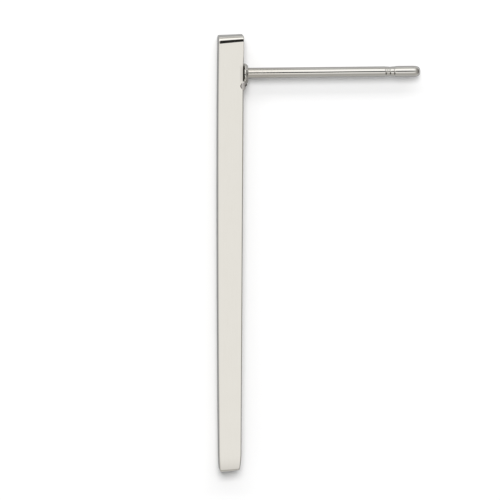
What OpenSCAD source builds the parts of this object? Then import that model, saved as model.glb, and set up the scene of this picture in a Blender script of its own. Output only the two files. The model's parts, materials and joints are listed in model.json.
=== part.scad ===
// A long straight bar stud earring in polished steel, lying on one side of its bar.
// The bar runs along Y with its top end at +Y, its front faces -X, and the ear post leaves its back along +X.
// The origin is the middle of the bar's side that rests on the surface, and Z points up.

/* [Bar] */
// Length of the bar, end to end along its middle
bar_length = 32; // [22:0.5:45]
// Width of the front, which is the height of the bar as it lies
bar_width = 2; // [1.7:0.05:2.6]
// Depth from front to back, before the bar narrows towards its bottom end
bar_depth = 1.9; // [1.7:0.05:2.6]
// How far the front has come in at the bottom end
front_taper = 0.07; // [0:0.01:0.12]
// How far the back has come in at the bottom end
back_taper = 0.13; // [0:0.01:0.22]
// Slant of both ends, seen from the side
end_slant = 5; // [0:0.5:8]
// Radius that the sides roll over to the ends with
end_radius = 0.34; // [0.2:0.02:0.5]
// Radius of the corners between the ends and the front and back
corner_radius = 0.16; // [0.12:0.01:0.24]
// Radius of the four long edges
edge_radius = 0.1; // [0.08:0.01:0.14]

/* [Ear post] */
// Diameter of the post
post_diameter = 0.76; // [0.6:0.01:0.9]
// Length of the post from the back of the bar to its tip
post_length = 12.9; // [9:0.1:15]
// Distance of the post from the top end, along the bar
post_drop = 2.75; // [1.9:0.05:6]
// Lean of the post towards the top end, from square to the bar
post_lean = 0.5; // [-1:0.1:1]

/* [Notch and tip] */
// Length of the tip beyond the notch
tip_length = 1.8; // [1.4:0.05:2.4]
// Diameter of the tip, which the notching tool swells a little
tip_diameter = 0.79; // [0.62:0.01:0.94]
// Radius that the tip is rounded with
nose_radius = 0.32; // [0.15:0.01:0.34]
// Length of the notch that holds the ear nut
notch_length = 0.62; // [0.4:0.02:0.9]
// Depth of the notch
notch_depth = 0.06; // [0.03:0.01:0.1]

/* [Weld] */
// Diameter of the weld nugget at the foot of the post
nugget_diameter = 1.66; // [1.2:0.02:1.76]
// How far the nugget stands off the back of the bar
nugget_height = 0.33; // [0.2:0.01:0.5]
// Radius of the nugget's rim
nugget_rim = 0.14; // [0.08:0.01:0.18]
// How far the nugget has run down past the post
nugget_run = 0.1; // [0:0.01:0.2]
// Radius of the weld bead that has run over the edge of the bar
bead_radius = 0.26; // [0.2:0.01:0.32]

/* [Hidden] */
$fn = 96;
// Overlap of pieces of one solid, so that they join and don't only touch
bite = bar_depth / 5;
// How far the slabs that round the bar stand proud of its faces, so that no round only grazes a flat face
proud = edge_radius / 50;
// Shares of bead_radius that the weld bead's centre lies inside the bar's side and past its back
bead_sink = 0.82;
bead_past_back = 0.2;
// Share of bead_radius at which the bead's two poles are flat
bead_pole = 0.96;
// Share of nugget_diameter that a bead lies below the post
bead_drop = 0.42;
// Width of each of the two grooves in the notch, as a share of its length
groove_share = 0.46;

front_x = -bar_depth / 2;
back_x = bar_depth / 2;
front_angle = atan(front_taper / bar_length);
back_angle = atan(back_taper / bar_length);
// Where the front and back are, at a height y along the bar
function front_at(y) = front_x + front_taper * (0.5 - y / bar_length);
function back_at(y) = back_x - back_taper * (0.5 - y / bar_length);
// Where an end's plane is, at a depth x; side is 1 at the top and -1 at the bottom
function end_at(side, x) = side * bar_length / 2 + x * tan(end_slant);

post_y = bar_length / 2 - post_drop;
post_z = bar_width / 2;
post_root_x = back_at(post_y);
nugget_y = post_y - nugget_run;
groove_width = notch_length * groove_share;

// Unit vector from a to b, and the point that lies r inside two edges of a counterclockwise outline
function unit(a, b) = (b - a) / norm(b - a);
function inward(v) = [-v.y, v.x];
function inset_corner(before, at, after, r) =
    let (u = unit(before, at), w = unit(at, after))
    at + r * (inward(u) + inward(w)) / (1 + u * w);

// Corners of a rectangle round the bar's width, a little proud of it and of both ends, counterclockwise
function round_the_width(left, right) = [
    [left - proud, -proud],
    [right + proud, -proud],
    [right + proud, bar_width + proud],
    [left - proud, bar_width + proud],
];

// A convex outline of straight sides whose corners are rounded with true arcs
module rounded_outline(points, r) {
    n = len(points);
    centres = [for (i = [0:n - 1]) inset_corner(points[(i + n - 1) % n], points[i], points[(i + 1) % n], r)];
    polygon([
        for (i = [0:n - 1])
            let (u = unit(points[(i + n - 1) % n], points[i]), w = unit(points[i], points[(i + 1) % n]))
            each [centres[i] - r * inward(u), centres[i] - r * inward(w)]
    ]);
    for (c = centres) translate(c) circle(r);
}

// The bar seen from its side, with its slanted ends and its slight taper
module side_outline() {
    bottom_front = end_at(-1, front_x + front_taper);
    bottom_back = end_at(-1, back_x - back_taper);
    rounded_outline([
        [front_at(bottom_front), bottom_front],
        [back_at(bottom_back), bottom_back],
        [back_at(end_at(1, back_x)), end_at(1, back_x)],
        [front_at(end_at(1, front_x)), end_at(1, front_x)],
    ], corner_radius);
}

// A slab as wide as the bar, running past both its faces, whose ends are rolled over square to the slant
module rolled_ends() {
    half = bar_length / 2 * cos(end_slant);
    past_faces = bar_depth + bar_length * sin(end_slant);
    rotate(end_slant)
        translate([-past_faces, 0, 0])
            rotate([90, 0, 90])
                linear_extrude(2 * past_faces)
                    rounded_outline(round_the_width(-half, half), end_radius);
}

// A slab that follows one face of the bar, runs past the other, and has the one's two long edges rounded
module edged_slab(face_x, lean, side) {
    translate([face_x, 0, 0])
        rotate(lean)
            translate([0, bar_length, 0])
                rotate([90, 0, 0])
                    linear_extrude(2 * bar_length)
                        mirror([side < 0 ? 1 : 0, 0])
                            rounded_outline(round_the_width(-2 * bar_depth, 0), edge_radius);
}

module bar() {
    intersection() {
        linear_extrude(bar_width) side_outline();
        rolled_ends();
        edged_slab(front_at(0), front_angle, -1);
        edged_slab(back_at(0), -back_angle, 1);
    }
}

// Turns a piece that stands on the XY plane so that it stands on the back of the bar at a height y, and leans
// towards the bar's top end
module on_back(y, lean = 0) {
    translate([post_root_x, y, post_z]) rotate([0, 90, lean]) children();
}

// Half the post's outline, from inside the bar to the rounded tip
module post_outline() {
    straight = post_length - tip_length;
    translate([0, -bite]) square([post_diameter / 2, straight + bite]);
    translate([0, straight]) square([tip_diameter / 2, tip_length - nose_radius]);
    translate([0, post_length - nose_radius])
        square([tip_diameter / 2 - nose_radius, nose_radius]);
    intersection() {
        translate([tip_diameter / 2 - nose_radius, post_length - nose_radius]) circle(nose_radius);
        translate([0, post_length - nose_radius]) square([tip_diameter, nose_radius + bite]);
    }
}

module ear_post() {
    notch_middle = post_length - tip_length - notch_length / 2;
    // A groove is part of a circle that is groove_width across where it leaves the post's surface
    groove_radius = (pow(groove_width / 2, 2) + pow(notch_depth, 2)) / (2 * notch_depth);
    groove_centre = post_diameter / 2 - notch_depth + groove_radius;
    on_back(post_y, post_lean) difference() {
        rotate_extrude() post_outline();
        for (side = [-1, 1])
            translate([0, 0, notch_middle + side * (notch_length - groove_width) / 2])
                rotate_extrude() translate([groove_centre, 0]) circle(groove_radius);
    }
}

// The flattened lump of weld metal round the foot of the post
module weld_nugget() {
    radius = nugget_diameter / 2;
    on_back(nugget_y) rotate_extrude() {
        translate([0, -bite]) square([radius, bite + nugget_height - nugget_rim]);
        translate([0, -bite]) square([radius - nugget_rim, bite + nugget_height]);
        translate([radius - nugget_rim, nugget_height - nugget_rim]) circle(nugget_rim);
    }
}

// A ball of weld metal that has run to the bar's edge below the post and stands a little over its upper side
module weld_bead() {
    pole = bead_pole * bead_radius;
    translate([
        post_root_x + bead_past_back * bead_radius,
        nugget_y - bead_drop * nugget_diameter,
        bar_width - bead_sink * bead_radius,
    ])
        rotate([0, 90, 0]) rotate_extrude() intersection() {
            circle(bead_radius);
            translate([0, -pole]) square([bead_radius, 2 * pole]);
        }
}

module bar_stud() {
    color("silver") {
        bar();
        ear_post();
        weld_nugget();
        weld_bead();
    }
}

bar_stud();
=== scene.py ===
"""Bar stud earring in mirror-polished steel, lying on one side of its bar on a pale floor.

Each piece is made by a geometry node tree in millimetres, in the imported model's frame, and ends as a plain
mesh in metres. The bar runs along Y with its top end at +Y, its front faces -X, and its ear post leaves the
back along +X.
"""
import json
import logging
import math
from abc import ABC, abstractmethod
from collections.abc import Sequence
from dataclasses import dataclass
from enum import Enum
from functools import partial, reduce
from typing import ClassVar

import bpy
from mathutils import Matrix, Vector


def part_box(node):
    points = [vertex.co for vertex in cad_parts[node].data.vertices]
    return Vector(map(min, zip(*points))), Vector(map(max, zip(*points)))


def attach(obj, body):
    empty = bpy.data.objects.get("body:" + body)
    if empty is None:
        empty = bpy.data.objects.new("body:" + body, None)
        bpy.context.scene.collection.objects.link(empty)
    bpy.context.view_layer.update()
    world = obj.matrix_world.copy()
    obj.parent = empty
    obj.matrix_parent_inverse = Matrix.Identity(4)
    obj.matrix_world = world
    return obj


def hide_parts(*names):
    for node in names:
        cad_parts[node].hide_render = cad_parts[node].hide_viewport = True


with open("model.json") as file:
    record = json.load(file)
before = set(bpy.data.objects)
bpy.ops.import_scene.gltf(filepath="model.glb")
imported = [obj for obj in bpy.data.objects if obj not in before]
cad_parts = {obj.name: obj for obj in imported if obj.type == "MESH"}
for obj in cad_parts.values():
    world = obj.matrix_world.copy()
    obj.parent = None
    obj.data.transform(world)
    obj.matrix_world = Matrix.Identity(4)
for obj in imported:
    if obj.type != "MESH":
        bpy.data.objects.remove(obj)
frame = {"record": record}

log = logging.getLogger("bar_stud")

MM = 0.001
NODE = "bar_stud"
BODY = "root"
# How far the front of the bar and the tip of the post stay inside the solid's box, in millimetres
CLEAR = 0.001

Socket = bpy.types.NodeSocket
Value = Socket | float
# A colour's red, green and blue, and the two values between which something changes
Colour = tuple[float, float, float]
Span = tuple[float, float]


class Ray(Enum):
    """The kinds of ray that the studio answers in a way of its own, by the Light Path node's names."""

    SEEN = "Is Camera Ray"
    SCATTERED = "Is Diffuse Ray"


@dataclass(frozen=True)
class Grain:
    """How fine a noise is: its waves per unit, its octaves and the weight of the finer ones."""

    scale: Value
    detail: float = 2.0
    roughness: float = 0.5


class NodeSketch:
    """Lays nodes into a tree, column by column, and joins them up as they are made."""

    ROWS = 6
    COLUMN_WIDTH = 180
    ROW_HEIGHT = 220

    def __init__(self, tree: bpy.types.NodeTree) -> None:
        """Starts on an emptied tree.

        Args:
            tree: the node tree of a material, a world or a geometry modifier.
        """
        self.tree = tree
        self.tree.nodes.clear()
        self.laid = 0

    def add(self, kind: str, inputs: dict | None = None, **settings: object) -> bpy.types.Node:
        """Makes one node.

        Args:
            kind: the node's Blender type.
            inputs: values or sockets, by the input's name or number.
            settings: the node's own properties.

        Returns:
            The node.
        """
        node = self.tree.nodes.new(kind)
        column, row = divmod(self.laid, self.ROWS)
        node.location = (self.COLUMN_WIDTH * column, -self.ROW_HEIGHT * row)
        self.laid += 1
        for name, value in settings.items():
            setattr(node, name, value)
        for name, value in (inputs or {}).items():
            self.feed(node.inputs[name], value)
        return node

    def feed(self, socket: Socket, value: object) -> None:
        """Gives an input a value, or links it to the socket that the value is.

        Args:
            socket: the input.
            value: a number, a vector or another node's output.
        """
        if isinstance(value, bpy.types.NodeSocket):
            self.tree.links.new(value, socket)
        else:
            socket.default_value = value

    def math(self, operation: str, *values: Value, clamp: bool = False) -> Socket:
        """The result of a Math node's operation on numbers, kept between 0 and 1 if it is to be clamped."""
        inputs = dict(enumerate(values))
        return self.add("ShaderNodeMath", inputs, operation=operation, use_clamp=clamp).outputs[0]

    def add_up(self, *values: Value) -> Socket:
        """The sum of two or more numbers."""
        return reduce(partial(self.math, "ADD"), values)

    def times(self, *values: Value) -> Socket:
        """The product of two or more numbers."""
        return reduce(partial(self.math, "MULTIPLY"), values)

    def minus(self, first: Value, second: Value) -> Socket:
        """The first number less the second."""
        return self.math("SUBTRACT", first, second)

    def over(self, first: Value, second: Value) -> Socket:
        """The first number divided by the second."""
        return self.math("DIVIDE", first, second)

    def ramp(self, value: Value, start: Value, end: Value, low: Value = 0.0, high: Value = 1.0,
             smooth: bool = True) -> Socket:
        """A rise from low to high as value goes from start to end, level outside that.

        Args:
            value: what drives the rise.
            start: where it begins.
            end: where it ends.
            low: the result before the start.
            high: the result past the end.
            smooth: eases in and out.

        Returns:
            The result's socket.
        """
        kind = "SMOOTHSTEP" if smooth else "LINEAR"
        inputs = {0: value, 1: start, 2: end, 3: low, 4: high}
        return self.add("ShaderNodeMapRange", inputs, interpolation_type=kind, clamp=True).outputs[0]

    def fall(self, value: Value, start: Value, end: Value) -> Socket:
        """A fall from 1 to 0 as value goes from start to end."""
        return self.ramp(value, start, end, 1.0, 0.0)

    def split(self, vector: Socket) -> tuple[Socket, Socket, Socket]:
        """The three parts of a vector."""
        return tuple(self.add("ShaderNodeSeparateXYZ", {0: vector}).outputs)

    def vector(self, x: Value, y: Value, z: Value) -> Socket:
        """A vector from its three parts."""
        return self.add("ShaderNodeCombineXYZ", {0: x, 1: y, 2: z}).outputs[0]

    def length(self, vector: Socket) -> Socket:
        """How long a vector is."""
        return self.add("ShaderNodeVectorMath", {0: vector}, operation="LENGTH").outputs["Value"]

    def noise(self, where: Socket, grain: Grain) -> Socket:
        """Smooth noise between 0 and 1, read at a place."""
        return self.add("ShaderNodeTexNoise", {
            "Vector": where, "Scale": grain.scale, "Detail": grain.detail, "Roughness": grain.roughness,
        }).outputs[0]

    def mix(self, amount: Socket, first: Socket | Colour, second: Socket | Colour) -> Socket:
        """A colour between two, by amount from 0 to 1."""
        # The node's sockets for colours are inputs 6 and 7 and output 2
        ends = [(*end, 1.0) if isinstance(end, tuple) else end for end in (first, second)]
        return self.add("ShaderNodeMix", {0: amount, 6: ends[0], 7: ends[1]}, data_type="RGBA").outputs[2]


class PieceTree(NodeSketch):
    """A geometry node tree with named inputs for a piece's sizes, worked in millimetres."""

    def __init__(self, name: str, sizes: dict[str, float], seed: int) -> None:
        """Starts the tree with one input for each size, one for the seed and one for the finish.

        Args:
            name: the tree's name.
            sizes: each input's name and value, in millimetres or a plain number.
            seed: what anything random in the piece starts from.
        """
        super().__init__(bpy.data.node_groups.new(name, "GeometryNodeTree"))
        self.tree.is_modifier = True
        self.values = {**sizes, "Seed": seed}
        for size in sizes:
            self.tree.interface.new_socket(size, in_out="INPUT", socket_type="NodeSocketFloat")
        self.tree.interface.new_socket("Seed", in_out="INPUT", socket_type="NodeSocketInt")
        self.tree.interface.new_socket("Finish", in_out="INPUT", socket_type="NodeSocketMaterial")
        self.tree.interface.new_socket("Piece", in_out="OUTPUT", socket_type="NodeSocketGeometry")
        self.inputs = self.add("NodeGroupInput").outputs

    def __getitem__(self, name: str) -> Socket:
        """The socket of a named input."""
        return self.inputs[name]

    def raised(self, geometry: Socket, height: Socket) -> Socket:
        """Moves a surface out along its normals.

        Args:
            geometry: the surface.
            height: how far each of its points goes.

        Returns:
            The moved surface.
        """
        normal = self.add("GeometryNodeInputNormal").outputs[0]
        offset = self.add("ShaderNodeVectorMath", {0: normal, "Scale": height}, operation="SCALE")
        return self.add("GeometryNodeSetPosition", {
            "Geometry": geometry, "Offset": offset.outputs[0],
        }).outputs[0]

    def finish(self, geometry: Socket) -> None:
        """Closes the tree: shades the piece smooth, brings it to metres, and realizes and dresses it.

        Args:
            geometry: the piece in millimetres.
        """
        smooth = self.add("GeometryNodeSetShadeSmooth", {"Geometry": geometry})
        metres = self.add("GeometryNodeTransform", {"Geometry": smooth.outputs[0], "Scale": (MM, MM, MM)})
        real = self.add("GeometryNodeRealizeInstances", {"Geometry": metres.outputs[0]})
        dressed = self.add("GeometryNodeSetMaterial", {
            "Geometry": real.outputs[0], "Material": self["Finish"],
        })
        self.add("NodeGroupOutput", {0: dressed.outputs[0]})

    def make(self, name: str, finish: bpy.types.Material) -> bpy.types.Object:
        """Runs the tree once and keeps what it makes as a plain mesh.

        Args:
            name: the piece's name.
            finish: the material that it is dressed in.

        Returns:
            The piece, at the origin, unturned and unscaled, with no modifier.
        """
        carrier = bpy.data.objects.new(name + "_carrier", bpy.data.meshes.new(name + "_carrier"))
        bpy.context.scene.collection.objects.link(carrier)
        modifier = carrier.modifiers.new("make", "NODES")
        modifier.node_group = self.tree
        for item in self.tree.interface.items_tree:
            if item.in_out == "INPUT":
                modifier[item.identifier] = finish if item.name == "Finish" else self.values[item.name]
        graph = bpy.context.evaluated_depsgraph_get()
        mesh = bpy.data.meshes.new_from_object(carrier.evaluated_get(graph), depsgraph=graph)
        bpy.data.objects.remove(carrier)
        mesh.name = name
        mesh.materials.clear()
        mesh.materials.append(finish)
        piece = bpy.data.objects.new(name, mesh)
        bpy.context.scene.collection.objects.link(piece)
        return piece


@dataclass(frozen=True)
class Plan:
    """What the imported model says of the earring, in millimetres."""

    low: Vector
    high: Vector
    foot: Vector
    along: Vector
    post_radius: float

    @classmethod
    def from_frame(cls) -> "Plan":
        """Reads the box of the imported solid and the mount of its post.

        Returns:
            The plan.
        """
        low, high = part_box(NODE)
        post = next(m for m in frame["record"]["mounts"] if m["name"] == "post")
        return cls(
            low=Vector(low) / MM,
            high=Vector(high) / MM,
            foot=Vector(post["pos_m"]) / MM,
            along=Vector(post["axis"]).normalized(),
            post_radius=post["dims"]["r_mm"],
        )


@dataclass(frozen=True)
class Steel:
    """Bare stainless steel. Each finish says how its surface was worked.

    Places are in millimetres, relief is in metres, and gloss is the roughness at its best and its worst.
    """

    name: str = "steel"
    colour: Colour = (0.80, 0.78, 0.735)
    stain: Colour = (0.72, 0.69, 0.63)
    # Soot, also used as painted shade in the weld's seam, its pit and the crevice where the weld meets the
    # bar
    soot_and_shade: Colour = (0.05, 0.045, 0.035)
    gloss: Span = (0.03, 0.07)
    relief: float = 1.2e-8
    edge_tint: float = 0.8

    def start(self) -> tuple[bpy.types.Material, NodeSketch, Socket]:
        """Starts the finish.

        Returns:
            A new material, a sketch of its tree and the place on the piece in millimetres.
        """
        material = bpy.data.materials.new(self.name)
        material.use_nodes = True
        sketch = NodeSketch(material.node_tree)
        place = sketch.add("ShaderNodeTexCoord").outputs["Object"]
        scaled = sketch.add("ShaderNodeVectorMath", {0: place, 1: (1 / MM,) * 3}, operation="MULTIPLY")
        return material, sketch, scaled.outputs[0]

    def close(self, sketch: NodeSketch, colour: Socket, roughness: Socket, height: Socket) -> None:
        """Joins colour, roughness and relief to the steel's shader.

        Args:
            sketch: the material's tree.
            colour: the surface's colour.
            roughness: its roughness.
            height: its height, as a share of the relief.
        """
        edge = (self.edge_tint,) * 3 + (1.0,)
        bump = sketch.add("ShaderNodeBump", {"Height": height, "Distance": self.relief, "Strength": 1.0})
        shader = sketch.add("ShaderNodeBsdfPrincipled", {
            "Base Color": colour, "Metallic": 1.0, "Roughness": roughness, "Specular Tint": edge,
            "Normal": bump.outputs[0],
        })
        sketch.add("ShaderNodeOutputMaterial", {"Surface": shader.outputs[0]})


@dataclass(frozen=True)
class MirrorPolish(Steel):
    """The bar's finish: a mirror polish with faint lines along it, and soot with painted shade at its back
    edge by the weld.
    """

    name: str = "mirror_polished_steel"
    lines: Grain = Grain(24.0, 4.0, 0.65)
    line_stretch: float = 0.02
    haze: Grain = Grain(0.9, 3.0, 0.5)
    worn_lines: Span = (0.45, 0.8)
    worn_haze: Span = (0.35, 0.75)
    stained_lines: Span = (0.3, 0.7)
    stain_by_lines: float = 0.12
    stain_by_haze: float = 0.2
    # Soot and painted shade: black on the bar's back edge round the weld, in the crevice between the two,
    # with a grey smudge further out
    burn_and_shade_grain: Grain = Grain(3.5, 3.0, 0.6)
    burn_and_shade_ragged: float = 0.08
    burn_and_shade_y: float = 13.285
    burn_and_shade_z: float = 1.55
    burn_and_shade_reach: Span = (0.68, 0.745)
    burn_and_shade_edge: Span = (0.838, 0.862)
    smudge: float = 0.30
    smudge_colour: Colour = (0.34, 0.31, 0.30)
    smudge_z: float = 1.2
    smudge_reach: Span = (0.85, 1.08)
    smudge_edge: Span = (0.56, 0.74)

    def burn_and_shade(self, sketch: NodeSketch, place: Sequence[Socket], haze: Socket) -> tuple[Socket, Socket]:
        """The soot that welding has left, darkened further as painted shade, from the weld up to the bar's
        edge, and the grey smudge round it.

        Args:
            sketch: the material's tree.
            place: depth, height along the bar and height above the floor, in millimetres.
            haze: slow noise that makes the marks uneven.

        Returns:
            The share of black, soot with painted shade, and the share of grey.
        """
        x, y, z = place
        ragged = sketch.times(sketch.minus(haze, 0.5), self.burn_and_shade_ragged)
        off, wide_off = (
            sketch.length(sketch.vector(0.0, sketch.minus(y, self.burn_and_shade_y), sketch.minus(z, middle)))
            for middle in (self.burn_and_shade_z, self.smudge_z)
        )
        uneven = sketch.add_up(x, ragged)
        near = sketch.fall(sketch.add_up(off, ragged), *self.burn_and_shade_reach)
        wide = sketch.ramp(wide_off, *self.smudge_reach, self.smudge, 0.0)
        return (
            sketch.times(near, sketch.ramp(uneven, *self.burn_and_shade_edge)),
            sketch.times(wide, sketch.ramp(uneven, *self.smudge_edge)),
        )

    def material(self) -> bpy.types.Material:
        """Builds the finish.

        Returns:
            The material.
        """
        material, sketch, place = self.start()
        x, y, z = sketch.split(place)
        lines = sketch.noise(sketch.vector(x, sketch.times(y, self.line_stretch), z), self.lines)
        haze = sketch.noise(place, self.haze)
        worn = sketch.times(sketch.ramp(lines, *self.worn_lines), sketch.ramp(haze, *self.worn_haze))
        stained = sketch.add_up(
            sketch.times(haze, self.stain_by_haze),
            sketch.times(sketch.ramp(lines, *self.stained_lines), self.stain_by_lines),
        )
        colour = sketch.mix(stained, self.colour, self.stain)
        # Painted shade over soot darkens the bar where the weld meets its back edge
        black, grey = self.burn_and_shade(sketch, (x, y, z), sketch.noise(place, self.burn_and_shade_grain))
        for share, tint in ((grey, self.smudge_colour), (black, self.soot_and_shade)):
            colour = sketch.mix(share, colour, tint)
        self.close(sketch, colour, sketch.ramp(worn, 0.0, 1.0, *self.gloss), lines)
        return material


@dataclass(frozen=True)
class DrawnWire(Steel):
    """The post's finish: bright drawn wire, lined lengthwise, duller by the weld, with grime and painted
    shade in its nicks.
    """

    name: str = "drawn_steel_wire"
    colour: Colour = (0.76, 0.745, 0.71)
    stain: Colour = (0.70, 0.67, 0.615)
    gloss: Span = (0.05, 0.24)
    relief: float = 6e-8
    lines: Grain = Grain(22.0, 3.0, 0.6)
    line_stretch: float = 0.03
    marks: Grain = Grain(6.0, 3.0, 0.6)
    dull_marks: Span = (0.55, 0.9)
    pits: Grain = Grain(9.0, 4.0, 0.6)
    dull_pits: Span = (0.3, 0.7)
    pit_relief: float = 9e-7
    heat_x: Span = (1.4, 6.5)
    heat_stain: float = 0.7
    # Painted shade, partly grime: dark in the nicks, but only in a narrow band along the post's top and
    # underside
    grime_and_shade: Colour = (0.10, 0.09, 0.075)
    grime_and_shade_share: float = 0.95
    grime_and_shade_y: float = 13.24
    grime_and_shade_reach: Span = (0.01, 0.14)
    nicks: tuple[float, float, float] = (11.325, 11.638, 11.95)
    nick_reach: Span = (0.02, 0.07)

    def material(self) -> bpy.types.Material:
        """Builds the finish.

        Returns:
            The material.
        """
        material, sketch, place = self.start()
        x, y, z = sketch.split(place)
        lines = sketch.noise(sketch.vector(sketch.times(x, self.line_stretch), y, z), self.lines)
        marks, pits = sketch.noise(place, self.marks), sketch.noise(place, self.pits)
        heat = sketch.fall(x, *self.heat_x)
        dull = sketch.math(
            "MAXIMUM", sketch.times(heat, sketch.ramp(pits, *self.dull_pits)),
            sketch.ramp(marks, *self.dull_marks),
        )
        colour = sketch.mix(sketch.times(heat, self.heat_stain), self.colour, self.stain)
        # Painted shade, partly grime, in the nicks within the narrow band
        off = sketch.math("ABSOLUTE", sketch.minus(y, self.grime_and_shade_y))
        grimy_and_shaded = sketch.ramp(off, *self.grime_and_shade_reach, self.grime_and_shade_share, 0.0)
        for nick in self.nicks:
            off = sketch.math("ABSOLUTE", sketch.minus(x, nick))
            colour = sketch.mix(sketch.times(grimy_and_shaded, sketch.fall(off, *self.nick_reach)), colour, self.grime_and_shade)
        height = sketch.add_up(lines, sketch.times(pits, heat, self.pit_relief / self.relief))
        self.close(sketch, colour, sketch.ramp(dull, 0.0, 1.0, *self.gloss), height)
        return material


@dataclass(frozen=True)
class WeldSkin(Steel):
    """The weld's finish: metal that froze as it ran, glossy on its crests and tinted in its hollows, with
    painted shade in its seam, its pit, round the bead's edge and on its flank.
    """

    name: str = "weld_steel"
    colour: Colour = (0.86, 0.845, 0.80)
    stain: Colour = (0.60, 0.57, 0.53)
    gloss: Span = (0.10, 0.30)
    relief: float = 4e-6
    coarse: Grain = Grain(4.5, 4.0, 0.6)
    coarse_share: float = 0.7
    fine: Grain = Grain(20.0, 3.0, 0.6)
    fine_share: float = 0.3
    stained: Span = (0.50, 0.74)
    dulled: Span = (0.3, 0.75)
    ragged: float = 0.10
    bead: Colour = (0.75, 0.72, 0.70)
    bead_y: Span = (12.62, 12.80)
    bead_z: Span = (1.70, 1.95)
    bead_gloss: float = 0.42
    # Painted shade: a near-black band round the bead's edge where it meets the bar's top face
    rim_shade: Colour = (0.15, 0.135, 0.125)
    rim_x: Span = (0.71, 0.80)
    rim_z: Span = (1.97, 1.99)
    rim_top: Span = (2.024, 2.036)
    # Painted shade: the soot colour darkens the weld's seam along the bar's back, where it lies in the
    # crevice
    seam_x: Span = (0.83, 0.885)
    seam_z: Span = (1.88, 1.94)
    # Painted shade: a dark spot in the pit under the lower end of the weld's ring
    pit: Span = (1.085, 12.42)
    pit_reach: Span = (0.05, 0.10)
    # Oxide and painted shade: darker on the weld's flank towards the post, strongest towards the bar's foot
    oxide_and_shade: Colour = (0.55, 0.525, 0.49)
    oxide_and_shade_x: Span = (1.07, 1.15)
    oxide_and_shade_y: Span = (13.2, 13.6)
    oxide_and_shade_above: float = 0.3

    def material(self) -> bpy.types.Material:
        """Builds the finish, with dark soot and painted shade left in the seam along the back of the bar,
        and oxide with painted shade on the flank by the post.

        Returns:
            The material.
        """
        material, sketch, place = self.start()
        x, y, z = sketch.split(place)
        coarse, fine = sketch.noise(place, self.coarse), sketch.noise(place, self.fine)
        uneven = sketch.add_up(x, sketch.times(sketch.minus(coarse, 0.5), self.ragged))
        bead = sketch.times(sketch.fall(y, *self.bead_y), sketch.ramp(z, *self.bead_z))
        # Painted shade round the bead's edge
        rim_shade = sketch.times(
            sketch.ramp(z, *self.rim_z), sketch.fall(z, *self.rim_top), sketch.fall(x, *self.rim_x),
        )
        # Painted shade in the seam between the weld and the bar's back
        seam = sketch.times(sketch.fall(uneven, *self.seam_x), sketch.fall(z, *self.seam_z))
        # Painted shade in the pit under the ring's end
        from_pit = sketch.vector(sketch.minus(x, self.pit[0]), sketch.minus(y, self.pit[1]), 0.0)
        pit = sketch.fall(sketch.length(from_pit), *self.pit_reach)
        # Oxide and painted shade on the flank facing the post
        flank = sketch.times(
            sketch.ramp(uneven, *self.oxide_and_shade_x), sketch.ramp(y, *self.oxide_and_shade_y, 1.0, self.oxide_and_shade_above),
        )
        colour = sketch.mix(sketch.ramp(coarse, *self.stained), self.colour, self.stain)
        for share, tint in (
            (flank, self.oxide_and_shade), (bead, self.bead), (rim_shade, self.rim_shade), (seam, self.soot_and_shade), (pit, self.soot_and_shade),
        ):
            colour = sketch.mix(share, colour, tint)
        roughness = sketch.math(
            "MAXIMUM", sketch.ramp(fine, *self.dulled, *self.gloss), sketch.times(bead, self.bead_gloss),
        )
        height = sketch.add_up(sketch.times(coarse, self.coarse_share), sketch.times(fine, self.fine_share))
        self.close(sketch, colour, roughness, height)
        return material


@dataclass
class Part(ABC):
    """A part of the earring, made by one tree and dressed in one finish. Sizes are in millimetres."""

    name: ClassVar[str]
    plan: Plan
    finish: Steel

    @abstractmethod
    def tree(self) -> PieceTree:
        """Lays out the part's tree."""

    def sizes(self, *names: str, **worked_out: float) -> dict[str, float]:
        """The sizes that the tree takes, by the names of its inputs, such as "Nick Gap" for nick_gap.

        Args:
            names: the sizes that it takes as they are.
            worked_out: the sizes that are worked out from others.

        Returns:
            Each input's name and value.
        """
        sizes = {name: getattr(self, name) for name in names} | worked_out
        return {name.replace("_", " ").title(): size for name, size in sizes.items()}

    def build(self) -> bpy.types.Object:
        """Makes the part and dresses it."""
        return self.tree().make(self.name, self.finish.material())


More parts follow.
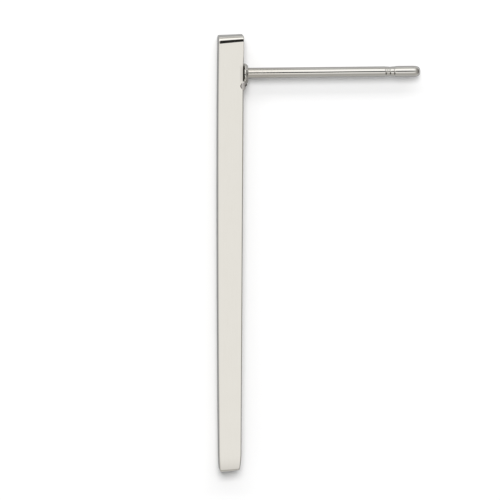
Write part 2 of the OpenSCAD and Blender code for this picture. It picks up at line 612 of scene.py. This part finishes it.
@dataclass
class Bar(Part):
    """The straight square bar, its ends rolled over by polishing. Slants and slopes are in degrees.

    Its front is bowed, and falls back from its crest towards both ends. Each side falls away before an end
    over a wide radius, the crown, until it has the slope, and then turns over the end with the roll.
    """

    name = "bar"
    finish: MirrorPolish = MirrorPolish()
    length: float = 31.925
    middle: float = 0.0575
    width: float = 2.0
    depth: float = 1.855
    front_crest: float = 9.0
    front_top_fall: float = 0.045
    front_foot_fall: float = 0.165
    back_taper: float = 0.09
    foot_reach: float = 1.4
    front_narrowing: float = 0.05
    back_narrowing: float = 0.115
    top_slant: float = 2.2
    foot_slant: float = 5.6
    front_edge: float = 0.09
    back_edge: float = 0.09
    back_edge_top: float = 0.028
    back_edge_change: Span = (0.85, 0.95)
    top_roll: float = 0.272
    foot_roll: float = 0.165
    roll_skew: float = 0.108
    top_corner: float = 0.08
    foot_corner: float = 0.12
    top_crown: float = 1.29
    foot_crown: float = 9.0
    top_slope: float = 9.5
    foot_slope: float = 8.0
    crown_skew: float = 0.10
    easing: float = 0.5
    wave: float = 0.0006
    wave_scale: float = 0.8
    seed: int = 5
    rings: tuple[int, int, int] = (32, 260, 80)
    crowding: tuple[float, float, float] = (2.0, 2.3, 2.0)

    def tree(self) -> PieceTree:
        """Lays out the bar: a dense box, its points crowded to its edges, rounded, tapered and slanted.

        Returns:
            The tree.
        """
        slants = ("top_slant", "foot_slant", "top_slope", "foot_slope")
        sk = PieceTree("bar_form", self.sizes(
            "length", "middle", "width", "depth", "front_crest", "front_top_fall", "front_foot_fall",
            "front_narrowing", "back_taper", "back_narrowing", "foot_reach", "front_edge", "back_edge",
            "back_edge_top", "top_roll", "foot_roll", "roll_skew", "top_corner", "foot_corner",
            "top_crown", "foot_crown", "crown_skew", "easing", "wave", "wave_scale",
            front=self.plan.low.x + CLEAR,
            **{slant: math.tan(math.radians(getattr(self, slant))) for slant in slants},
        ), self.seed)
        box = sk.add("GeometryNodeMeshCube", {
            "Size": (2.0, 2.0, 2.0), **dict(zip(("Vertices X", "Vertices Y", "Vertices Z"), self.rings)),
        })
        share = sk.split(sk.add("GeometryNodeInputPosition").outputs[0])
        s, t, u = [self.spread(sk, part, power) for part, power in zip(share, self.crowding)]
        halves = [sk.times(sk[name], 0.5) for name in ("Depth", "Length", "Width")]
        z = sk.times(u, halves[2])
        back_edge = sk.ramp(t, *self.back_edge_change, sk["Back Edge"], sk["Back Edge Top"])
        side = sk.ramp(s, -1.0, 1.0, sk["Front Edge"], back_edge, smooth=False)
        roll = sk.times(self.eased(sk, "Roll", t), sk.minus(1.0, sk.times(sk["Roll Skew"], s)))
        x, y = self.rounded_plan(sk, s, t, [
            sk.minus(halves[0], self.inset(sk, z, halves[2], side)),
            sk.minus(halves[1], self.inset(sk, z, halves[2], roll)),
        ])
        z = self.crowned(sk, x, y, z, halves)
        x = self.tapered(sk, x, y, halves)
        y = sk.add_up(y, sk["Middle"], sk.times(x, self.eased(sk, "Slant", y, halves[1])))
        shaped = sk.add("GeometryNodeSetPosition", {
            "Geometry": box.outputs[0], "Position": sk.vector(x, y, sk.add_up(z, halves[2])),
        })
        sk.finish(self.waved(sk, shaped.outputs[0]))
        return sk

    @staticmethod
    def eased(sk: PieceTree, size: str, along: Socket, half: Value = 1.0) -> Socket:
        """A size of which each end has its own, eased from one to the other round the bar's middle.

        Args:
            sk: the tree.
            size: the size's name.
            along: height along the bar.
            half: half of the bar's length, in the measure of along.

        Returns:
            The size at that height.
        """
        reach = sk.times(sk["Easing"], half)
        return sk.ramp(along, sk.times(reach, -1.0), reach, sk["Foot " + size], sk["Top " + size])

    @staticmethod
    def spread(sk: NodeSketch, part: Socket, power: float) -> Socket:
        """Crowds evenly spaced points, from -1 to 1, towards both ends."""
        inner = sk.math("POWER", sk.math("SUBTRACT", 1.0, sk.math("ABSOLUTE", part), clamp=True), power)
        return sk.times(sk.math("SIGN", part), sk.minus(1.0, inner))

    @staticmethod
    def inset(sk: NodeSketch, z: Socket, half: Socket, radius: Socket) -> Socket:
        """How far a rounded edge has drawn in at a height z.

        Args:
            sk: the tree.
            z: height above the bar's middle.
            half: half of the bar's width.
            radius: radius of the edge.

        Returns:
            The distance that the outline has drawn in.
        """
        past = sk.minus(sk.math("ABSOLUTE", z), sk.minus(half, radius))
        into = sk.over(sk.math("MAXIMUM", past, 0.0), radius)
        arc = sk.math("SQRT", sk.math("SUBTRACT", 1.0, sk.times(into, into), clamp=True))
        return sk.times(radius, sk.minus(1.0, arc))

    def rounded_plan(self, sk: PieceTree, s: Socket, t: Socket, half: list[Socket]) -> list[Socket]:
        """Places a point in the outline that the bar has at its height, a rectangle with rounded corners.

        Args:
            sk: the tree.
            s: share of the half depth.
            t: share of the half length.
            half: half of the outline's depth and length.

        Returns:
            Depth and height along the bar, from its middle.
        """
        radius = self.eased(sk, "Corner", t)
        kept, lean = [], []
        for share, reach in zip((s, t), half):
            place = sk.times(share, reach)
            inner = sk.minus(reach, radius)
            kept.append(sk.math("MAXIMUM", sk.math("MINIMUM", place, inner), sk.times(inner, -1.0)))
            lean.append(sk.over(sk.minus(place, kept[-1]), radius))
        way = sk.add("ShaderNodeVectorMath", {0: sk.vector(*lean, 0.0)}, operation="NORMALIZE").outputs[0]
        far = sk.math("MAXIMUM", *(sk.math("ABSOLUTE", part) for part in lean))
        return [
            sk.add_up(start, sk.times(part, far, radius)) for start, part in zip(kept, sk.split(way)[:2])
        ]

    @staticmethod
    def tapered(sk: PieceTree, x: Socket, y: Socket, halves: list[Socket]) -> Socket:
        """Bows the front, furthest out at its crest, and brings the back in towards the bottom end.

        Args:
            sk: the tree.
            x: depth from the middle.
            y: height along the bar.
            halves: half of the depth, length and width.

        Returns:
            The new depth.
        """
        crest = sk["Front Crest"]
        above = sk.math("DIVIDE", sk.minus(y, crest), sk.minus(halves[1], crest), clamp=True)
        below = sk.math("DIVIDE", sk.minus(crest, y), sk.add_up(halves[1], crest), clamp=True)
        down = sk.over(sk.minus(halves[1], y), sk["Length"])
        foot = sk.ramp(y, sk.minus(sk["Foot Reach"], halves[1]), sk.times(halves[1], -1.0), smooth=False)
        foot = sk.times(foot, foot)
        front = sk.add_up(
            sk.times(sk["Front Top Fall"], above, above),
            sk.times(sk["Front Foot Fall"], below, below),
            sk.times(sk["Front Narrowing"], foot),
        )
        back = sk.add_up(sk.times(sk["Back Taper"], down), sk.times(sk["Back Narrowing"], foot))
        across = sk.over(sk.add_up(x, halves[0]), sk["Depth"])
        left = sk.minus(sk["Depth"], sk.add_up(front, back))
        return sk.add_up(sk["Front"], front, sk.times(across, left))

    def crowned(self, sk: PieceTree, x: Socket, y: Socket, z: Socket, halves: list[Socket]) -> Socket:
        """Lets the sides fall away gently just before the ends, over a longer way towards the front.

        Args:
            sk: the tree.
            x: depth from the middle.
            y: height along the bar.
            z: height above the bar's middle.
            halves: half of the depth, length and width.

        Returns:
            The new height above the middle.
        """
        roll, crown, slope = (self.eased(sk, size, y, halves[1]) for size in ("Roll", "Crown", "Slope"))
        across = sk.over(x, halves[0])
        roll = sk.times(roll, sk.minus(1.0, sk.times(sk["Roll Skew"], across)))
        radius = sk.times(crown, sk.minus(1.0, sk.times(sk["Crown Skew"], across)))
        reach = sk.times(radius, slope)
        start = sk.minus(sk.minus(halves[1], roll), reach)
        near = sk.math("MAXIMUM", sk.minus(sk.math("ABSOLUTE", y), start), 0.0)
        curved = sk.math("MINIMUM", near, reach)
        drop = sk.add_up(
            sk.over(sk.times(curved, curved), sk.times(radius, 2.0)),
            sk.times(slope, sk.minus(near, curved)),
        )
        return sk.times(z, sk.minus(1.0, sk.over(drop, halves[2])))

    @staticmethod
    def waved(sk: PieceTree, geometry: Socket) -> Socket:
        """Draws the surface in by less than a micrometre here and there, a faint ripple in the mirror.

        Args:
            sk: the tree.
            geometry: the shaped bar.

        Returns:
            The rippled bar.
        """
        place = sk.add("GeometryNodeInputPosition").outputs[0]
        seed = sk.vector(sk["Seed"], 0.0, 0.0)
        moved = sk.add("ShaderNodeVectorMath", {0: place, 1: seed}, operation="ADD").outputs[0]
        ripple = sk.minus(sk.noise(moved, Grain(sk["Wave Scale"])), 1.0)
        return sk.raised(geometry, sk.times(ripple, sk["Wave"]))


@dataclass
class EarPost(Part):
    """The post with its notch and its rounded tip. It leans lean_less degrees less than its mount."""

    name = "ear_post"
    finish: DrawnWire = DrawnWire()
    start: float = -0.5
    root_cap: float = 0.02
    crowding: float = 1.5
    tip_radius: float = 0.395
    tip_length: float = 1.90
    tip_blend: float = 0.2
    nose_length: float = 0.60
    nose_power: float = 3.0
    swell: float = 0.006
    lean_less: float = 0.03
    raised: float = 0.010
    notch_from_tip: float = 2.20
    notch_width: float = 0.60
    notch_depth: float = 0.024
    nick_gap: float = 0.315
    nick_width: float = 0.085
    nick_depth: float = 0.020
    foot_height: float = 0.33
    seed: int = 3
    rings: int = 640
    sides: int = 64
    merge: float = 1e-4

    def tree(self) -> PieceTree:
        """Lays out the post: a grid wrapped round its axis, with a radius that follows the way to the tip.

        Returns:
            The tree.
        """
        plan = self.plan
        angle = math.atan2(plan.along.y, plan.along.x) - math.radians(self.lean_less)
        root = plan.foot - plan.along * self.foot_height + Vector((0.0, self.raised, 0.0))
        length = (plan.high.x - CLEAR - root.x) / math.cos(angle)
        sk = PieceTree("post_form", self.sizes(
            "start", "root_cap", "crowding", "tip_radius", "tip_length", "tip_blend", "swell",
            "nose_length", "nose_power", "notch_from_tip", "notch_width", "notch_depth", "nick_gap",
            "nick_width", "nick_depth", length=length, radius=plan.post_radius,
        ), self.seed)
        grid = sk.add("GeometryNodeMeshGrid", {
            "Size X": 1.0, "Size Y": 1.0, "Vertices X": self.rings, "Vertices Y": self.sides + 1,
        })
        u, v, _ = sk.split(sk.add("GeometryNodeInputPosition").outputs[0])
        span = sk.minus(sk["Length"], sk["Start"])
        to_tip = sk.times(sk.math("POWER", sk.math("SUBTRACT", 0.5, u, clamp=True), sk["Crowding"]), span)
        closed_root = sk.math("DIVIDE", sk.minus(span, to_tip), sk["Root Cap"], clamp=True)
        radius = sk.times(self.radius(sk, to_tip), closed_root)
        turn = sk.times(v, -2 * math.pi)
        across = [sk.times(radius, sk.math(part, turn)) for part in ("COSINE", "SINE")]
        place = sk.vector(sk.minus(sk["Length"], to_tip), *across)
        wrapped = sk.add("GeometryNodeSetPosition", {"Geometry": grid.outputs[0], "Position": place})
        closed = sk.add("GeometryNodeMergeByDistance", {
            "Geometry": wrapped.outputs[0], "Distance": self.merge,
        })
        set_up = sk.add("GeometryNodeTransform", {
            "Geometry": closed.outputs[0], "Translation": root, "Rotation": (0.0, 0.0, angle),
        })
        sk.finish(set_up.outputs[0])
        return sk

    @staticmethod
    def radius(sk: PieceTree, to_tip: Socket) -> Socket:
        """The post's radius at a distance from the end of its tip.

        Args:
            sk: the tree.
            to_tip: distance from the end of the tip.

        Returns:
            The radius.
        """
        tip = sk["Tip Length"]
        past = sk.fall(to_tip, sk.minus(tip, sk["Tip Blend"]), tip)
        belly = sk.minus(1.0, sk.math("POWER", sk.minus(sk.times(sk.over(to_tip, tip), 2.0), 1.0), 2.0))
        straight = sk.add_up(
            sk["Radius"],
            sk.times(past, sk.minus(sk["Tip Radius"], sk["Radius"])),
            sk.times(past, belly, sk["Swell"]),
        )
        cut = 0.0
        for kind, gaps in (("Notch", 0), ("Nick", -1), ("Nick", 0), ("Nick", 1)):
            middle = sk.add_up(sk["Notch From Tip"], sk.times(sk["Nick Gap"], gaps))
            off = sk.over(sk.minus(to_tip, middle), sk.times(sk[kind + " Width"], 0.5))
            bowl = sk.math("SUBTRACT", 1.0, sk.times(off, off), clamp=True)
            cut = sk.add_up(cut, sk.times(bowl, sk[kind + " Depth"]))
        nose = sk.math("SUBTRACT", 1.0, sk.over(to_tip, sk["Nose Length"]), clamp=True)
        power = sk["Nose Power"]
        round_off = sk.math("POWER", sk.minus(1.0, sk.math("POWER", nose, power)), sk.over(1.0, power))
        return sk.times(sk.minus(straight, cut), round_off)


@dataclass(frozen=True)
class Drop:
    """One drop of weld metal, by its place in the earring's frame and its radius, in millimetres."""

    place: tuple[float, float, float]
    radius: float


@dataclass(frozen=True)
class Ring:
    """A ring of drops round the post: its radius, how many there are and how much further out they lie."""

    radius: float
    drops: int
    further: float


@dataclass
class Weld(Part):
    """The weld round the post's foot, and the drops that have run to the bar's edge."""

    name = "weld"
    finish: WeldSkin = WeldSkin()
    run: float = 0.055
    stand_off: float = 1.04
    rings: Sequence[Ring] = (
        Ring(0.59, 56, 0.0), Ring(0.55, 52, 0.045), Ring(0.42, 40, 0.03), Ring(0.29, 26, 0.0),
    )
    drop_radius: float = 0.172
    drop_variety: float = 0.07
    drop_spread: float = 0.018
    runners: Sequence[Drop] = (
        Drop((0.81, 12.40, 1.99), 0.19),
        Drop((0.85, 12.48, 1.98), 0.195),
        Drop((0.86, 12.33, 1.97), 0.20),
        Drop((0.87, 12.57, 1.96), 0.18),
        Drop((0.87, 12.26, 1.95), 0.17),
        Drop((0.87, 12.42, 1.88), 0.15),
        Drop((0.92, 12.58, 1.77), 0.17),
        Drop((0.97, 12.65, 1.58), 0.19),
        Drop((1.05, 12.46, 1.47), 0.14),
    )
    fineness: float = 0.016
    threshold: float = 0.1
    softness: int = 9
    lump_scale: float = 2.6
    lump_level: float = 0.62
    lumps: float = 0.022
    press_from: float = 1.95
    press: float = 0.40
    seed: int = 11

    def tree(self) -> PieceTree:
        """Lays out the weld: rings of drops and the runners below them, flowed into one lump and softened.

        Returns:
            The tree.
        """
        sk = PieceTree("weld_form", self.sizes(
            "run", "stand_off", "drop_radius", "drop_variety", "drop_spread", "fineness", "threshold",
            "lump_scale", "lump_level", "lumps", "press_from", "press",
        ), self.seed)
        drops = sk.add("GeometryNodeJoinGeometry")
        sk.tree.links.new(self.ringed(sk), drops.inputs[0])
        for runner in self.runners:
            point = sk.add("GeometryNodePoints", {
                "Count": 1, "Position": runner.place, "Radius": runner.radius,
            })
            sk.tree.links.new(point.outputs[0], drops.inputs[0])
        volume = sk.add("GeometryNodePointsToVolume", {
            "Points": drops.outputs[0], "Voxel Size": sk["Fineness"],
            "Radius": sk.add("GeometryNodeInputRadius").outputs[0],
        }, resolution_mode="VOXEL_SIZE")
        skin = sk.add("GeometryNodeVolumeToMesh", {
            "Volume": volume.outputs[0], "Threshold": sk["Threshold"],
        })
        sk.finish(self.softened(sk, skin.outputs[0]))
        return sk

    def ringed(self, sk: PieceTree) -> Socket:
        """Sets drops of many sizes in rings round the post.

        Args:
            sk: the tree.

        Returns:
            The drops as points with a radius each.
        """
        # The limits of a random vector are inputs 0 and 1, and those of a random number 2 and 3
        seed, size, spread = sk["Seed"], sk["Drop Radius"], sk["Drop Spread"]
        least = sk.times(size, sk.minus(1.0, sk["Drop Variety"]))
        most = sk.times(size, sk.add_up(1.0, sk["Drop Variety"]))
        sizes = sk.add("FunctionNodeRandomValue", {2: least, 3: most, "Seed": seed}, data_type="FLOAT")
        circles = sk.add("GeometryNodeJoinGeometry")
        for ring in self.rings:
            circle = sk.add("GeometryNodeMeshCircle", {"Vertices": ring.drops, "Radius": ring.radius})
            moved = sk.add("GeometryNodeTransform", {
                0: circle.outputs[0], "Translation": (0.0, 0.0, ring.further),
            })
            sk.tree.links.new(moved.outputs[0], circles.inputs[0])
        strewn = sk.add("GeometryNodeSetPosition", {
            "Geometry": circles.outputs[0],
            "Offset": sk.add("FunctionNodeRandomValue", {
                0: sk.vector(*(sk.times(spread, -1.0),) * 3), 1: sk.vector(*(spread,) * 3),
                "Seed": sk.math("ADD", seed, 1.0),
            }, data_type="FLOAT_VECTOR").outputs[0],
        })
        points = sk.add("GeometryNodeMeshToPoints", {"Mesh": strewn.outputs[0], "Radius": sizes.outputs[1]})
        foot = self.plan.foot
        return sk.add("GeometryNodeTransform", {
            "Geometry": points.outputs[0], "Rotation": (0.0, math.pi / 2, 0.0),
            "Translation": sk.vector(sk["Stand Off"], sk.minus(foot.y, sk["Run"]), foot.z),
        }).outputs[0]

    def softened(self, sk: PieceTree, skin: Socket) -> Socket:
        """Lets the drops flow together, raises low lumps on them and flattens them above the bar's side.

        Args:
            sk: the tree.
            skin: the mesh round the drops.

        Returns:
            The softened mesh.
        """
        place = sk.add("GeometryNodeInputPosition").outputs[0]
        blurred = sk.add("GeometryNodeBlurAttribute", {
            "Value": place, "Iterations": self.softness,
        }, data_type="FLOAT_VECTOR").outputs["Value"]
        soft = sk.add("GeometryNodeSetPosition", {"Geometry": skin, "Position": blurred}).outputs[0]
        lump = sk.minus(sk.noise(place, Grain(sk["Lump Scale"])), sk["Lump Level"])
        lumpy = sk.raised(soft, sk.times(lump, sk["Lumps"]))
        over = sk.math("MAXIMUM", sk.minus(sk.split(place)[2], sk["Press From"]), 0.0)
        down = sk.vector(0.0, 0.0, sk.times(over, sk.minus(sk["Press"], 1.0)))
        return sk.add("GeometryNodeSetPosition", {"Geometry": lumpy, "Offset": down}).outputs[0]


@dataclass(frozen=True)
class Panel:
    """A soft panel or a dark card in the studio, as the range of directions that it fills, in degrees.

    up_from and up_to run from the zenith towards the bar's top end, side_from and side_to from the plane of
    the bar's length and the zenith towards the post. Each edge is soft by so many degrees either way.
    """

    name: str
    up_from: float
    up_to: float
    side_from: float
    side_to: float
    colour: Colour
    soft_up: Span
    soft_side: Span

    def mask(self, sk: NodeSketch, up: Socket, side: Socket) -> Socket:
        """How far a direction is inside the panel, from 0 to 1.

        Args:
            sk: the world's sketch.
            up: the direction's angle from the zenith towards the bar's top end.
            side: its angle from the plane of the bar towards the post.

        Returns:
            The share of the panel's colour.
        """
        edges = (
            (sk.ramp, up, self.up_from, self.soft_up[0]),
            (sk.fall, up, self.up_to, self.soft_up[1]),
            (sk.ramp, side, self.side_from, self.soft_side[0]),
            (sk.fall, side, self.side_to, self.soft_side[1]),
        )
        return sk.times(*(change(angle, at - soft, at + soft) for change, angle, at, soft in edges))


@dataclass(frozen=True)
class Lamp:
    """A soft lamp that draws the shadows on the floor. Mirrors don't show it. Angles are in degrees."""

    name: str
    up: float
    side: float
    half_up: float
    half_side: float
    share: float

    @staticmethod
    def spread(*halves: float) -> float:
        """How much stronger a wide lamp has to be, as its edges hang further off and are turned away."""
        angles = [math.radians(half) for half in halves]
        return math.prod(math.tan(angle) / (angle / 2 + math.sin(2 * angle) / 4) for angle in angles)

    def hang(self, distance: float) -> bpy.types.Object:
        """Hangs the lamp, turned to the earring.

        Args:
            distance: how far off it hangs, in metres.

        Returns:
            The lamp.
        """
        way = Vector((math.tan(math.radians(self.side)), math.tan(math.radians(self.up)), 1.0)).normalized()
        light = bpy.data.lights.new(self.name, "AREA")
        light.shape = "RECTANGLE"
        light.size = 2 * distance * math.tan(math.radians(self.half_side))
        light.size_y = 2 * distance * math.tan(math.radians(self.half_up))
        flat = self.share * (math.pi * distance) ** 2 / way.z
        light.energy = flat * self.spread(self.half_up, self.half_side)
        lamp = bpy.data.objects.new(self.name, light)
        lamp.location = way * distance
        lamp.rotation_mode = "QUATERNION"
        lamp.rotation_quaternion = way.to_track_quat("Z", "Y")
        lamp.visible_glossy = False
        lamp.visible_camera = False
        bpy.context.scene.collection.objects.link(lamp)
        return lamp


@dataclass(frozen=True)
class Studio:
    """The floor, the light and the camera."""

    room: Colour = (0.42, 0.412, 0.395)
    panels: Sequence[Panel] = (
        Panel("overhead", -30.0, -2.5, -75.0, 17.0, (0.985, 0.98, 0.965), (18.0, 1.0), (8.0, 10.0)),
        Panel("key", 17.0, 66.0, -75.0, 17.0, (1.27, 1.27, 1.26), (1.0, 3.0), (8.0, 10.0)),
        Panel("lens", -2.5, 19.0, -14.0, 13.0, (0.03, 0.03, 0.03), (1.0, 1.0), (2.0, 8.0)),
        Panel("foot_side", -180.0, -45.0, -60.0, 60.0, (0.475, 0.466, 0.447), (5.0, 12.0), (15.0, 15.0)),
        Panel("far_side", -180.0, 180.0, 42.0, 200.0, (0.17, 0.165, 0.16), (5.0, 5.0), (20.0, 5.0)),
    )
    lamps: Sequence[Lamp] = (
        Lamp("key", 20.5, -3.0, 11.0, 10.0, 0.515),
        Lamp("key_wing", 20.5, 5.0, 11.0, 25.0, 0.155),
        Lamp("fill", 54.0, 0.0, 8.0, 40.0, 0.190),
    )
    lamp_distance: float = 1.5
    haze: float = 0.308
    backdrop: float = 1.0
    floor_size: float = 3.0
    floor_white: float = 0.90
    # Painted shade: to all rays but the camera's, the floor is grey near the earring and paler further off,
    # so the steel mirrors a darker floor round it
    floor_shade_in_mirror: float = 0.41
    floor_far_off: float = 0.80
    shaded_floor_reach: tuple[float, float, float] = (0.0010, 0.018, 0.016)
    floor_shade_fade: float = 0.008
    tilt_up: float = 6.92
    tilt_front: float = 3.9
    roll: float = 0.191
    distance: float = 350.0
    aim: tuple[float, float, float] = (1.461, 0.311, 1.0)
    pixels_per_mm: float = 13.702
    frame_pixels: float = 500.0
    sensor: float = 36.0
    clip: Span = (0.01, 10.0)

    def world(self) -> None:
        """Paints the room and its panels round the scene, by direction, as the steel mirrors them."""
        world = bpy.data.worlds.new("studio")
        bpy.context.scene.world = world
        world.use_nodes = True
        sk = NodeSketch(world.node_tree)
        x, y, z = sk.split(sk.add("ShaderNodeTexCoord").outputs["Object"])
        up = sk.math("DEGREES", sk.math("ARCTAN2", y, z))
        side = sk.math("DEGREES", sk.math("ARCSINE", x))
        colour = self.room
        for panel in self.panels:
            colour = sk.mix(panel.mask(sk, up, side), colour, panel.colour)
            colour.node.label = panel.name
        path = sk.add("ShaderNodeLightPath")
        for ray, level in ((Ray.SCATTERED, self.haze), (Ray.SEEN, self.backdrop)):
            colour = sk.mix(path.outputs[ray.value], colour, (level,) * 3)
        back = sk.add("ShaderNodeBackground", {"Color": colour, "Strength": 1.0})
        sk.add("ShaderNodeOutputWorld", {"Surface": back.outputs[0]})
        world.cycles.sampling_method = "NONE"

    def floor(self) -> bpy.types.Object:
        """Lays the plain floor that the earring rests on, white to the camera, with painted shade near the
        earring in what the steel mirrors.

        Returns:
            The floor.
        """
        half = self.floor_size / 2
        mesh = bpy.data.meshes.new("floor")
        corners = [(-half, -half, 0.0), (half, -half, 0.0), (half, half, 0.0), (-half, half, 0.0)]
        mesh.from_pydata(corners, [], [(0, 1, 2, 3)])
        floor = bpy.data.objects.new("floor", mesh)
        bpy.context.scene.collection.objects.link(floor)
        material = bpy.data.materials.new("pale_floor")
        material.use_nodes = True
        sk = NodeSketch(material.node_tree)
        x, y, _ = sk.split(sk.add("ShaderNodeTexCoord").outputs["Object"])
        # Painted shade in the floor's colour for all but camera rays: grey within the reach round the
        # earring, fading to the paler shade
        front, ends, post = self.shaded_floor_reach
        off = sk.math("MAXIMUM", sk.minus(sk.times(x, -1.0), front), sk.minus(sk.math("ABSOLUTE", y), ends))
        off = sk.math("MAXIMUM", off, sk.minus(x, post))
        seen = sk.add("ShaderNodeLightPath").outputs[Ray.SEEN.value]
        white, grey, pale = (
            (shade,) * 3 for shade in (self.floor_white, self.floor_shade_in_mirror, self.floor_far_off)
        )
        mirrored_shade = sk.mix(sk.ramp(off, 0.0, self.floor_shade_fade), grey, pale)
        matt = sk.add("ShaderNodeBsdfDiffuse", {"Color": sk.mix(seen, mirrored_shade, white)})
        sk.add("ShaderNodeOutputMaterial", {"Surface": matt.outputs[0]})
        mesh.materials.append(material)
        return floor

    def camera(self) -> bpy.types.Object:
        """Sets the camera as in the photograph, above the earring and a little to its top end and front.

        Returns:
            The camera.
        """
        across = -math.sin(math.radians(self.tilt_front))
        up = math.sin(math.radians(self.tilt_up))
        back = Vector((across, up, math.sqrt(1 - across ** 2 - up ** 2)))
        data = bpy.data.cameras.new("camera")
        data.sensor_width = self.sensor
        data.lens = self.sensor * self.pixels_per_mm * self.distance / self.frame_pixels
        data.clip_start, data.clip_end = self.clip
        data.dof.use_dof = False
        top = (Vector((0.0, 1.0, 0.0)) - back * back.y).normalized()
        right = top.cross(back)
        turned = Matrix.Rotation(math.radians(self.roll), 3, back)
        right, top = turned @ right, turned @ top
        camera = bpy.data.objects.new("camera", data)
        place = Matrix((right, top, back)).transposed().to_4x4()
        place.translation = (Vector(self.aim) + back * self.distance) * MM
        camera.matrix_world = place
        bpy.context.scene.collection.objects.link(camera)
        bpy.context.scene.camera = camera
        return camera

    def build(self) -> None:
        """Makes the whole studio."""
        self.world()
        self.floor()
        for lamp in self.lamps:
            lamp.hang(self.lamp_distance)
        self.camera()
        view = bpy.context.scene.view_settings
        view.view_transform = "Standard"
        view.look = "None"


def place_piece(piece: bpy.types.Object) -> None:
    """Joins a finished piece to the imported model.

    Args:
        piece: the finished piece.
    """
    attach(piece, BODY)
    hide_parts(NODE)
    log.info("%s: %d faces", piece.name, len(piece.data.polygons))


def main() -> None:
    """Builds the studio and the earring's pieces in order."""
    logging.basicConfig(level=logging.INFO, format="%(message)s")
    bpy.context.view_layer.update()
    plan = Plan.from_frame()
    Studio().build()
    for part in (Bar(plan), EarPost(plan), Weld(plan)):
        place_piece(part.build())


if __name__ == "__main__":
    main()
